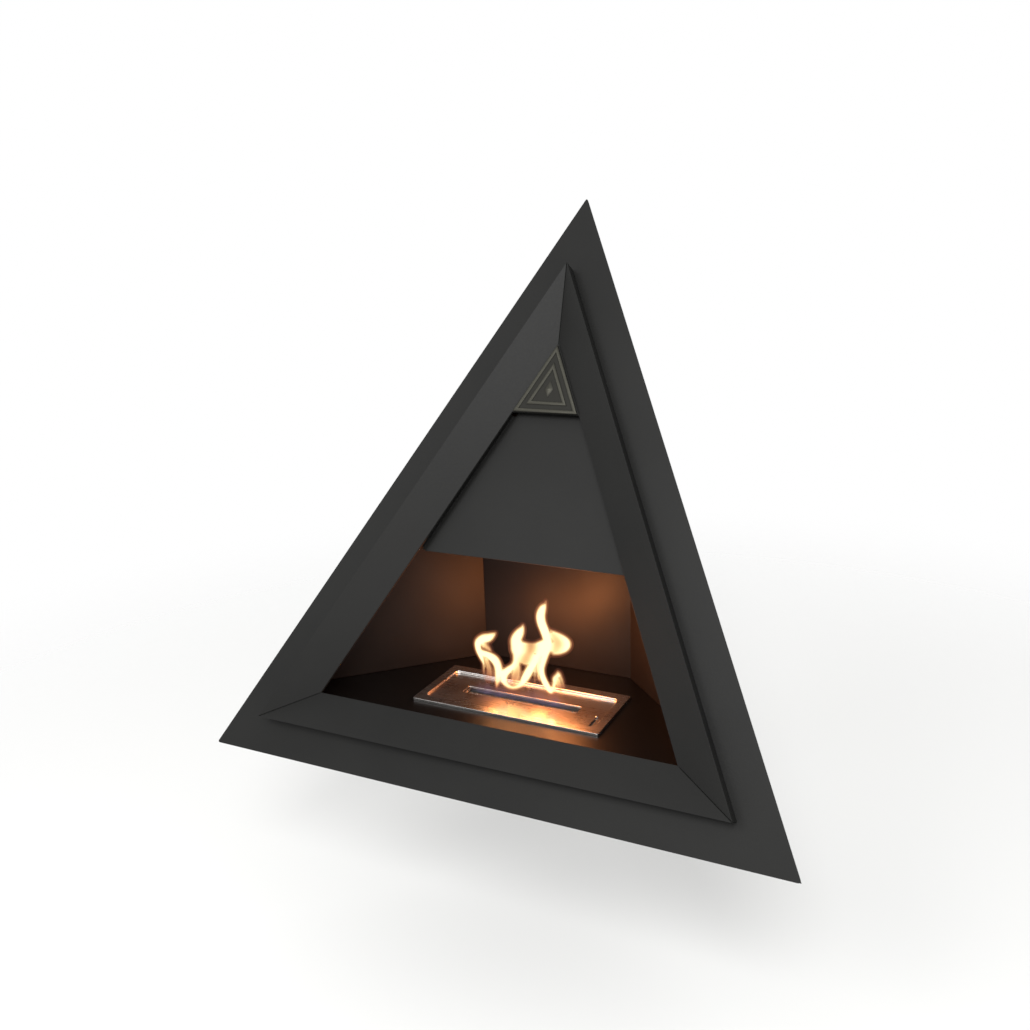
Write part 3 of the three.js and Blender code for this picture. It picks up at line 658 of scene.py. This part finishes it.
class FIREPLACE_OT_burner(bpy.types.Operator):
    """Press the stainless tray and finish what hangs under it"""

    bl_idname = "fireplace.burner"
    bl_label = "Burner"

    dull_nodes = (
        "burner_tank",
        "slot_grille",
        "shutter_runner_left",
        "shutter_runner_right",
        "shutter_plate",
    )

    def section(self, s):
        """The tray's closed section: (ring kind, distance out from that ring, height)."""
        top = TRAY_HIGH.z
        floor = top - s.pan_depth
        under = floor - s.sheet
        lip = 0.0008
        flat = 0.001
        inner = s.press + s.sheet
        points = [("slot", 0.0, under), ("pan", s.sheet - inner, under)]
        points += self.bend("pan", (s.sheet - inner, under + inner), inner, -90, 0)
        points += [("pan", s.sheet, top - s.sheet), ("rim", -s.sheet, top - s.sheet)]
        points += [("rim", -s.sheet, TRAY_SEAT), ("rim", 0.0, TRAY_SEAT)]
        points += self.bend("rim", (-s.edge, top - s.edge), s.edge, 0, 90)
        points += self.bend("pan", (s.press, top - s.press), s.press, 90, 180)
        points += self.bend("pan", (-s.press, floor + s.press), s.press, 0, -90)
        points += [("pan", -s.press - 2 * flat, floor), ("slot", lip + flat, floor)]
        points += self.bend("slot", (lip, floor - lip), lip, 90, 180)
        return points

    def bend(self, kind, centre, radius, start, end):
        return [(kind, out, up) for out, up in arc(centre, radius, start, end)]

    def execute(self, context):
        s = context.scene.fireplace_burner
        half = (TRAY_HIGH - TRAY_LOW) / 2
        least_radius = 0.0005
        rings = {
            "rim": (half.x, half.y, s.tray_round),
            "pan": (half.x - s.rim_end, half.y - s.rim_side, s.pan_round),
            "slot": (s.slot_length / 2, s.slot_width / 2, s.slot_round),
        }
        vertices = []
        section = self.section(s)
        for kind, out, up in section:
            half_length, half_width, radius = rings[kind]
            corner = max(radius + out, least_radius)
            ring = rounded_ring(half_length + out, half_width + out, corner, up)
            vertices += [(x, y + TRAY_MIDDLE.y, z) for x, y, z in ring]
        faces = ring_faces(len(ring), len(section), closed=True)
        steel = brushed_steel("brushed_tray", s.steel, grain=0.24, tint=0.4)
        tray = new_piece(
            "pressed_tray", vertices, faces, steel, "burner", ("burner_tray",)
        )
        self.cut_slit(tray, s.slit)
        smooth(tray, 40)
        dull = brushed_steel("stainless_tank", shade(s.steel, 0.8), grain=0.4)
        for node in self.dull_nodes:
            dress(node, dull, SMALL_EDGE)
        dress("ceramic_wool", ceramic_fibre())
        self.turn_pin(steel, s.pin_stem)
        return {"FINISHED"}

    def cut_slit(self, tray, half_width):
        """Cuts the pin's slit, as long as the shutter's travel."""
        low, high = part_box("shutter_pin")
        joints = {joint["name"]: joint for joint in frame["joints"]}
        travel = joints["shutter_slide"]["range_m"][1]
        middle = Vector(((low.x + high.x) / 2, (low.y + high.y - travel) / 2, HEARTH_TOP))
        half_length = travel / 2 + half_width
        half_height = 0.004
        vertices = []
        for height in (-half_height, half_height):
            ring = rounded_ring(half_width, half_length, 0.98 * half_width, height, steps=6)
            vertices += [middle + Vector(point) for point in ring]
        count = len(ring)
        faces = ring_faces(count, 2, closed=False)
        faces += [tuple(reversed(range(count))), tuple(range(count, 2 * count))]
        mesh = bpy.data.meshes.new("slit")
        mesh.from_pydata([tuple(v) for v in vertices], [], faces)
        cutter = bpy.data.objects.new("slit", mesh)
        bpy.context.scene.collection.objects.link(cutter)
        cut = tray.modifiers.new("slit", "BOOLEAN")
        cut.operation = "DIFFERENCE"
        cut.object = cutter
        cut.solver = "EXACT"
        evaluated = tray.evaluated_get(bpy.context.evaluated_depsgraph_get())
        finished = bpy.data.meshes.new_from_object(evaluated)
        tray.modifiers.remove(cut)
        tray.data = finished
        bpy.data.objects.remove(cutter)

    def turn_pin(self, material, stem):
        """The shutter's pin: a turned knob with a waist and a domed top."""
        low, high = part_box("shutter_pin")
        x, y = (low.x + high.x) / 2, (low.y + high.y) / 2
        head = (high.x - low.x) / 2
        edge = 0.0003
        profile = [(stem, low.z), (stem, TRAY_SEAT), (head - edge, TRAY_SEAT)]
        profile += [(head, TRAY_SEAT + 0.0004), (head, high.z - 3 * edge)]
        profile += [(head - 2 * edge, high.z - edge), (head / 2, high.z)]
        steps = 32
        vertices = []
        for radius, z in profile:
            for i in range(steps):
                turn = 2 * math.pi * i / steps
                vertices.append((x + radius * math.cos(turn), y + radius * math.sin(turn), z))
        faces = ring_faces(steps, len(profile), closed=False)
        last = steps * (len(profile) - 1)
        faces += [tuple(reversed(range(steps))), tuple(range(last, last + steps))]
        pin = new_piece(
            "turned_pin", vertices, faces, material, "shutter", ("shutter_pin",)
        )
        smooth(pin, 40)


# ---------------------------------------------------------------- flames

# Each stroke is a line of points: across the slot, above the pan, half width (mm), solidity.
TONGUES = {
    "left_hook": (
        (-61, 27, 1.5, 0.2),
        (-61, 38, 2, 0.45),
        (-60, 49, 2.7, 0.7),
        (-64, 62, 5, 0.95),
        (-67, 72, 5.6, 1),
        (-66, 82, 6, 1),
        (-57, 90, 6.2, 1),
        (-47, 94, 5.6, 0.95),
        (-40, 99, 2.8, 0.8),
        (-37, 102, 0.6, 0.6),
    ),
    "left_back": (
        (-61, 67, 5.2, 1),
        (-48, 66, 6, 1),
        (-39, 61, 6.8, 1),
        (-35, 52, 6, 1),
        (-35, 41, 5.4, 1),
        (-37, 29, 4.6, 0.8),
        (-39, 18, 3.4, 0.45),
        (-40, 8, 1.4, 0.15),
    ),
    "loop": (
        (-27, 37, 5.6, 1),
        (-28, 29, 5.2, 1),
        (-26, 22, 4, 0.9),
        (-19, 17, 3.5, 0.8),
        (-10, 17, 3.5, 0.8),
        (-1, 23, 4.3, 0.9),
        (6, 34, 5.8, 1),
        (13, 46, 6.2, 1),
        (20, 58, 5.9, 1),
        (25, 70, 5.9, 1),
    ),
    "middle": (
        (4, 117, 0.5, 0.6),
        (2, 111, 2.8, 0.85),
        (-3, 102, 6.2, 1),
        (-7, 93, 7.2, 1),
        (-5, 83, 7.6, 1),
        (-4, 73, 6.3, 1),
        (-6, 62, 4.4, 1),
        (-10, 53, 4, 1),
        (-18, 45, 5, 1),
        (-27, 37, 5.6, 1),
    ),
    "bridge": (
        (-3, 80, 9, 1),
        (5, 81, 8.6, 0.6),
        (14, 82, 8.4, 0.28),
        (25, 84, 8.4, 0.4),
        (34, 88, 8.2, 0.85),
        (43, 94, 8, 1),
    ),
    "tall": (
        (46, 162, 0.4, 0.6),
        (45, 157, 1.9, 0.8),
        (41, 150, 5.4, 1),
        (38, 140, 7.4, 1),
        (39, 129, 8.2, 1),
        (43, 118, 8.6, 1),
        (46, 107, 8.2, 1),
        (47, 97, 7.5, 1),
        (43, 87, 7.2, 1),
        (34, 81, 7.2, 1),
    ),
    "lobe_edge": (
        (55, 121, 1.2, 0.6),
        (65, 117, 3.6, 0.75),
        (74, 111, 5.2, 0.9),
        (78, 104, 5.8, 1),
        (75, 95, 5.2, 0.95),
        (66, 88, 3.8, 0.75),
        (57, 84, 2, 0.6),
    ),
    "streak": (
        (29, 74, 3.8, 1),
        (27, 62, 2, 0.9),
        (24, 49, 1.3, 0.8),
        (23, 38, 1, 0.6),
        (22, 29, 0.4, 0.2),
    ),
    "right_leg": (
        (43, 83, 5.6, 1),
        (40, 71, 5.1, 0.9),
        (37, 59, 5, 0.9),
        (37, 48, 5.5, 1),
        (40, 38, 5.7, 1),
        (45, 29, 5.4, 1),
        (50, 23, 4.3, 0.9),
        (55, 29, 3.3, 0.8),
        (59, 39, 3.5, 0.8),
        (61, 47, 4.2, 0.8),
        (65, 54, 3, 0.7),
        (65, 59, 0.8, 0.5),
    ),
    "right_end": (
        (67, 54, 2.8, 0.7),
        (71, 47, 2, 0.6),
        (73, 38, 1.4, 0.4),
        (75, 28, 0.6, 0.15),
    ),
}

# Thin sheets of gas between the tongues, given in the same way.
FILMS = {
    "hook": ((-55, 81, 5, 0.3), (-48, 79, 4.4, 0.24), (-44, 76, 2.5, 0.18)),
    "left_leg": ((-53, 57, 5, 0.3), (-51, 45, 5.6, 0.24), (-51, 34, 6, 0.18), (-54, 22, 7, 0.1)),
    "loop": ((-5, 56, 5, 0.34), (-7, 44, 6.6, 0.28), (-10, 32, 6.8, 0.24), (-12, 24, 5, 0.24)),
    "body": ((1, 66, 9, 0.34), (9, 65, 10, 0.3), (16, 70, 8.5, 0.34)),
    "strands": ((33, 72, 4, 0.36), (31, 60, 3.8, 0.3), (30, 50, 3.6, 0.24), (30, 38, 3.4, 0.18)),
    "lobe": (
        (57, 113, 6.5, 0.4),
        (64, 109, 9.4, 0.36),
        (69, 103, 11, 0.36),
        (62, 95, 10, 0.36),
        (55, 91, 6.5, 0.34),
    ),
    "right": ((65, 46, 4.8, 0.28), (66, 37, 5.6, 0.18), (66, 28, 5, 0.1)),
}


def curve_through(points, steps):
    """Points along a smooth curve through the given ones."""
    p = np.array([points[0], *points, points[-1]], float)
    t = np.linspace(0, 1, steps, endpoint=False)[:, None]
    rows = []
    for a, b, c, d in zip(p, p[1:], p[2:], p[3:]):
        square = 2 * a - 5 * b + 4 * c - d
        cube = 3 * b - a - 3 * c + d
        rows.append(0.5 * (2 * b + (c - a) * t + square * t**2 + cube * t**3))
    return np.vstack([*rows, p[-1:]])


class GasField:
    """Distance outside the flames, and how solid they are, on a grid of points."""

    # Corners of the grid, from the slot's middle on the hearth.
    low = np.array([-0.084, -0.024, -0.004])
    high = np.array([0.094, 0.024, 0.172])
    # Reach over which neighbouring strokes melt together, in shape and in solidity.
    blend = 0.0012
    solid_blend = 0.003
    # What is added to every half width, and the furthest that a film reaches inwards.
    swell = -0.0003
    film_depth = 0.0016
    # Distances past this one are all the same; strokes are worked out as far as pad.
    far = 0.02
    pad = 0.011
    least_radius = 0.0003
    tiny = 1e-12

    def __init__(self, settings):
        self.step = settings.grid
        counts = np.ceil((self.high - self.low) / self.step).astype(int)
        self.axes = [self.low[i] + self.step * np.arange(counts[i]) for i in range(3)]
        x, z = self.axes[0][:, None, None], self.axes[2][None, None, :]
        self.out = self.axes[1][None, :, None] - self.sway(x, z)
        self.total = np.full(counts, self.tiny)
        self.weights = np.full(counts, self.tiny)
        self.weighted = np.zeros(counts)
        for points in TONGUES.values():
            self.stroke(points, settings.thickness, -1.0)
        for points in FILMS.values():
            self.stroke(points, 0.5 * settings.thickness, -self.film_depth)
        self.distance = np.minimum(-self.blend * np.log(self.total), self.far)
        self.solidity = self.weighted / self.weights

    def sway(self, x, z):
        """How far the flames lean to the front and back of the slot."""
        rise = np.clip(z / 0.05, 0, 1)
        return rise * (0.006 * np.sin(58 * x + 1.0) + 0.003 * np.sin(75 * z + 20 * x))

    def stroke(self, points, thickness, deepest):
        """Adds one stroke, as a chain of tapered capsules."""
        rows = curve_through(points, 4)
        rows[:, :3] /= 1000
        rows[:, 2] += self.swell
        near = np.full(self.total.shape, self.far)
        solid = np.zeros(self.total.shape)
        for start, end in zip(rows, rows[1:]):
            span = []
            for axis, column in ((0, 0), (2, 1)):
                ends = sorted((start[column], end[column]))
                reach = max(start[2], end[2]) + self.pad
                span.append(np.searchsorted(self.axes[axis], (ends[0] - reach, ends[1] + reach)))
            block = (slice(*span[0]), slice(None), slice(*span[1]))
            x = self.axes[0][block[0], None, None]
            z = self.axes[2][None, None, block[2]]
            run = end[:2] - start[:2]
            along = ((x - start[0]) * run[0] + (z - start[1]) * run[1]) / max(run @ run, self.tiny)
            along = np.clip(along, 0, 1)
            off = np.hypot(x - start[0] - along * run[0], z - start[1] - along * run[1])
            radius = np.maximum(start[2] + along * (end[2] - start[2]), self.least_radius)
            reach = np.hypot(off, self.out[block] / thickness) - radius
            closer = reach < near[block]
            near[block] = np.where(closer, reach, near[block])
            solid[block] = np.where(closer, start[3] + along * (end[3] - start[3]), solid[block])
        near = np.maximum(near, deepest)
        self.total += np.exp(-near / self.blend)
        weight = np.exp(-near / self.solid_blend)
        self.weights += weight
        self.weighted += weight * solid

    def sample(self, places):
        """Solidity at places given in grid steps."""
        base = np.clip(np.floor(places).astype(int), 0, np.array(self.solidity.shape) - 2)
        part = places - base
        value = np.zeros(len(places))
        for corner in np.ndindex(2, 2, 2):
            share_here = np.prod(np.where(corner, part, 1 - part), axis=1)
            value += share_here * self.solidity[tuple((base + corner).T)]
        return value


class FIREPLACE_OT_flames(bpy.types.Operator):
    """Grow the flames out of the slot as nested shells of glowing gas, and light the firebox"""

    bl_idname = "fireplace.flames"
    bl_label = "Flames"

    # Name, distance outside the strokes, the setting that holds the solidity, and warmth.
    shells = (
        ("flame_halo", 0.0044, "halo", 0.33),
        ("flame_glow", 0.0018, "glow", 0.55),
        ("flame_body", 0.0001, "body", 0.85),
        ("flame_heart", -0.0014, "heart", 1.0),
    )
    # The veil's left end, length and lower edge, which clears the closed shutter.
    veil_left = -0.084
    veil_length = 0.17
    foot = -0.0011
    # Name, across and up from the slot's middle on the hearth, and share of the power.
    lamps = (
        ("firelight_left", -0.05, 0.075, 0.6),
        ("firelight_middle", 0.012, 0.075, 1.0),
        ("firelight_tall", 0.05, 0.11, 1.2),
    )
    lamp_radius = 0.026
    # The lamp that stands for the foot of the flames: share of the power, colour and size.
    base_share = 0.011
    base_light = (1.0, 0.42, 0.15)
    base_size = (0.155, 0.02)
    base_place = (0.002, 0.0, 0.016)

    def execute(self, context):
        s = context.scene.fireplace_flames
        field = GasField(s)
        grid = openvdb.FloatGrid(background=field.far)
        grid.copyFromArray(field.distance)
        material = burning_gas(s)
        origin = np.array([0, TRAY_MIDDLE.y, HEARTH_TOP])
        cool_height = 0.045
        for name, level, key, warmth in self.shells:
            points, quads = grid.convertToQuads(isovalue=level)
            places = points.astype(float)
            local = places * field.step + field.low
            solidity = field.sample(places)
            faces = [tuple(map(int, quad)) for quad in quads]
            shell = new_piece(name, local + origin, faces, material, "burner")
            rise = np.clip(local[:, 2] / cool_height, 0, 1)
            warm = warmth * np.clip(0.1 + 0.25 * rise + 0.8 * solidity, 0, 1)
            solid = getattr(s, key) * solidity**1.4 * np.clip(0.4 + rise, 0, 1)
            self.glow(shell, warm, solid)
        self.veil(material, origin)
        self.firelight(s, origin)
        return {"FINISHED"}

    def glow(self, shell, warmth, solid):
        """Gives a shell of gas what its material reads at each point, and takes its shadow away."""
        for name, values in (("warmth", warmth), ("solid", solid)):
            attribute = shell.data.attributes.new(name, "FLOAT", "POINT")
            attribute.data.foreach_set("value", np.asarray(values, np.float32))
        shell.data.shade_smooth()
        shell.visible_shadow = False

    def veil(self, material, origin):
        """The thin blue and rosy film of gas between the slot and the tongues."""
        columns, rows = 90, 14
        half_thickness = 0.0045
        solidity = 0.34
        vertices, warmth, solid = [], [], []
        for side in (-1, 1):
            for i in range(columns + 1):
                along = i / columns
                x = self.veil_left + self.veil_length * along
                sway = 0.001 * math.sin(40 * along)
                crest = 0.019 + 0.005 * math.sin(9 * along + 1.5) + 0.003 * math.sin(23 * along)
                end = min(1.0, 6 * along, 6 * (1 - along))
                streaks = 0.75 + 0.25 * math.sin(70 * along + 3 * math.sin(11 * along))
                edges = 0.5 + 0.5 * abs(2 * along - 1)
                for j in range(rows + 1):
                    up = j / rows
                    swell = half_thickness * math.sin(math.pi * min(1.0, 0.15 + 0.85 * up)) ** 0.7
                    swell = 0.0 if i in (0, columns) or j == rows else swell * end
                    height = self.foot + (crest - self.foot) * up * (0.35 + 0.65 * end)
                    vertices.append((x, side * swell + sway, height))
                    warmth.append(0.02 + 0.28 * up**1.4 * (0.4 + 0.6 * along))
                    solid.append(solidity * (1 - up) ** 0.8 * end * streaks * edges)
        faces = []
        sheet = (columns + 1) * (rows + 1)
        for i in range(columns):
            for j in range(rows):
                a = i * (rows + 1) + j
                b = a + rows + 1
                faces.append((a, b, b + 1, a + 1))
                faces.append((sheet + a, sheet + a + 1, sheet + b + 1, sheet + b))
        piece = new_piece("flame_veil", np.array(vertices) + origin, faces, material, "burner")
        self.glow(piece, warmth, solid)

    def firelight(self, s, origin):
        """Soft lamps in the flames, which ride on the burner."""
        for name, x, z, part in self.lamps:
            lamp = bpy.data.lights.new(name, "POINT")
            lamp.color = s.light
            lamp.shadow_soft_size = self.lamp_radius
            self.hold(lamp, origin, (x, s.lamp_setback, z), s.power * part)
        base = bpy.data.lights.new("firelight_base", "AREA")
        base.shape = "RECTANGLE"
        base.size, base.size_y = self.base_size
        base.color = self.base_light
        holder = self.hold(base, origin, self.base_place, s.power * self.base_share, 90)
        holder.visible_camera = False

    def hold(self, lamp, origin, place, power, tilt=0):
        """Puts a lamp on the burner: its place from the slot's middle, its tilt in degrees."""
        lamp.energy = power
        holder = bpy.data.objects.new(lamp.name, lamp)
        bpy.context.scene.collection.objects.link(holder)
        holder.location = Vector(origin) + Vector(place)
        holder.rotation_euler = (math.radians(tilt), 0, 0)
        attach(holder, "burner")
        return holder


# ---------------------------------------------------------------- studio


class FIREPLACE_OT_studio(bpy.types.Operator):
    """Set the pale floor, the soft white surround, the lamps and the camera"""

    bl_idname = "fireplace.studio"
    bl_label = "Studio"

    # Name, place in metres and power in watts of each soft lamp, which all aim at one point.
    lamps = (("key", (0.9, -2.5, 2.1), 56.0), ("fill", (-0.9, -2.5, 2.1), 19.0))
    lamp_size = 1.2
    lamp_target = (0, -0.2, 0.35)

    def execute(self, context):
        s = context.scene.fireplace_studio
        self.floor(s)
        self.surround(context.scene, s)
        for name, place, power in self.lamps:
            self.lamp(name, place, power)
        self.camera(context.scene, s)
        return {"FINISHED"}

    def floor(self, s):
        steps, rings = 64, 10
        vertices = [(0.0, 0.0, -s.floor_drop)]
        for ring in range(1, rings + 1):
            radius = s.floor_reach * ring / rings
            for i in range(steps):
                turn = 2 * math.pi * i / steps
                vertices.append((radius * math.cos(turn), radius * math.sin(turn), -s.floor_drop))
        faces = [(0, 1 + i, 1 + (i + 1) % steps) for i in range(steps)]
        faces += [tuple(1 + i for i in quad) for quad in ring_faces(steps, rings, closed=False)]
        mesh = bpy.data.meshes.new("studio_floor")
        mesh.from_pydata(vertices, [], faces)
        mesh.materials.append(studio_floor(s))
        floor = bpy.data.objects.new("studio_floor", mesh)
        bpy.context.scene.collection.objects.link(floor)

    def surround(self, scene, s):
        world = bpy.data.worlds.new("studio")
        world.use_nodes = True
        scene.world = world
        background = world.node_tree.nodes["Background"]
        background.inputs["Color"].default_value = (1.0, 1.0, 1.0, 1.0)
        background.inputs["Strength"].default_value = s.daylight
        scene.view_settings.view_transform = "Standard"

    def lamp(self, name, place, power):
        light = bpy.data.lights.new(name, "AREA")
        light.shape = "DISK"
        light.size = self.lamp_size
        light.energy = power
        lamp = bpy.data.objects.new(name, light)
        bpy.context.scene.collection.objects.link(lamp)
        lamp.location = place
        towards = Vector(self.lamp_target) - lamp.location
        lamp.rotation_mode = "QUATERNION"
        lamp.rotation_quaternion = towards.to_track_quat("-Z", "Y")

    def camera(self, scene, s):
        data = bpy.data.cameras.new("camera")
        data.lens = s.lens
        data.sensor_width = 36.0
        data.clip_start = 0.01
        data.dof.use_dof = False
        camera = bpy.data.objects.new("camera", data)
        scene.collection.objects.link(camera)
        camera.rotation_mode = "QUATERNION"
        camera.location = s.camera_place
        towards = Vector(s.camera_target) - camera.location
        level = towards.to_track_quat("-Z", "Y")
        turn = Matrix.Rotation(s.camera_tilt, 4, "Z").to_quaternion()
        camera.rotation_quaternion = level @ turn
        scene.camera = camera


# ---------------------------------------------------------------- panel and main

STEPS = (
    FIREPLACE_OT_coat,
    FIREPLACE_OT_firebox,
    FIREPLACE_OT_fasteners,
    FIREPLACE_OT_emblem,
    FIREPLACE_OT_burner,
    FIREPLACE_OT_flames,
    FIREPLACE_OT_studio,
)
GROUPS = {
    "fireplace_coat": CoatSettings,
    "fireplace_emblem": EmblemSettings,
    "fireplace_burner": BurnerSettings,
    "fireplace_flames": FlameSettings,
    "fireplace_studio": StudioSettings,
}


class FIREPLACE_PT_panel(bpy.types.Panel):
    """Lists the steps that dress the fireplace"""

    bl_idname = "FIREPLACE_PT_panel"
    bl_label = "Corner Fireplace"
    bl_space_type = "VIEW_3D"
    bl_region_type = "UI"
    bl_category = "Fireplace"

    def draw(self, context):
        for step in STEPS:
            self.layout.operator(step.bl_idname)
        for name, group in GROUPS.items():
            box = self.layout.box()
            settings = getattr(context.scene, name)
            for key in group.__annotations__:
                box.prop(settings, key)


CLASSES = (*GROUPS.values(), *STEPS, FIREPLACE_PT_panel)


def register():
    for cls in CLASSES:
        bpy.utils.register_class(cls)
    for name, group in GROUPS.items():
        setattr(bpy.types.Scene, name, bpy.props.PointerProperty(type=group))


def unregister():
    for name in GROUPS:
        delattr(bpy.types.Scene, name)
    for cls in reversed(CLASSES):
        bpy.utils.unregister_class(cls)


def main():
    register()
    for step in STEPS:
        group, name = step.bl_idname.split(".")
        getattr(getattr(bpy.ops, group), name)()


if __name__ == "__main__":
    main()
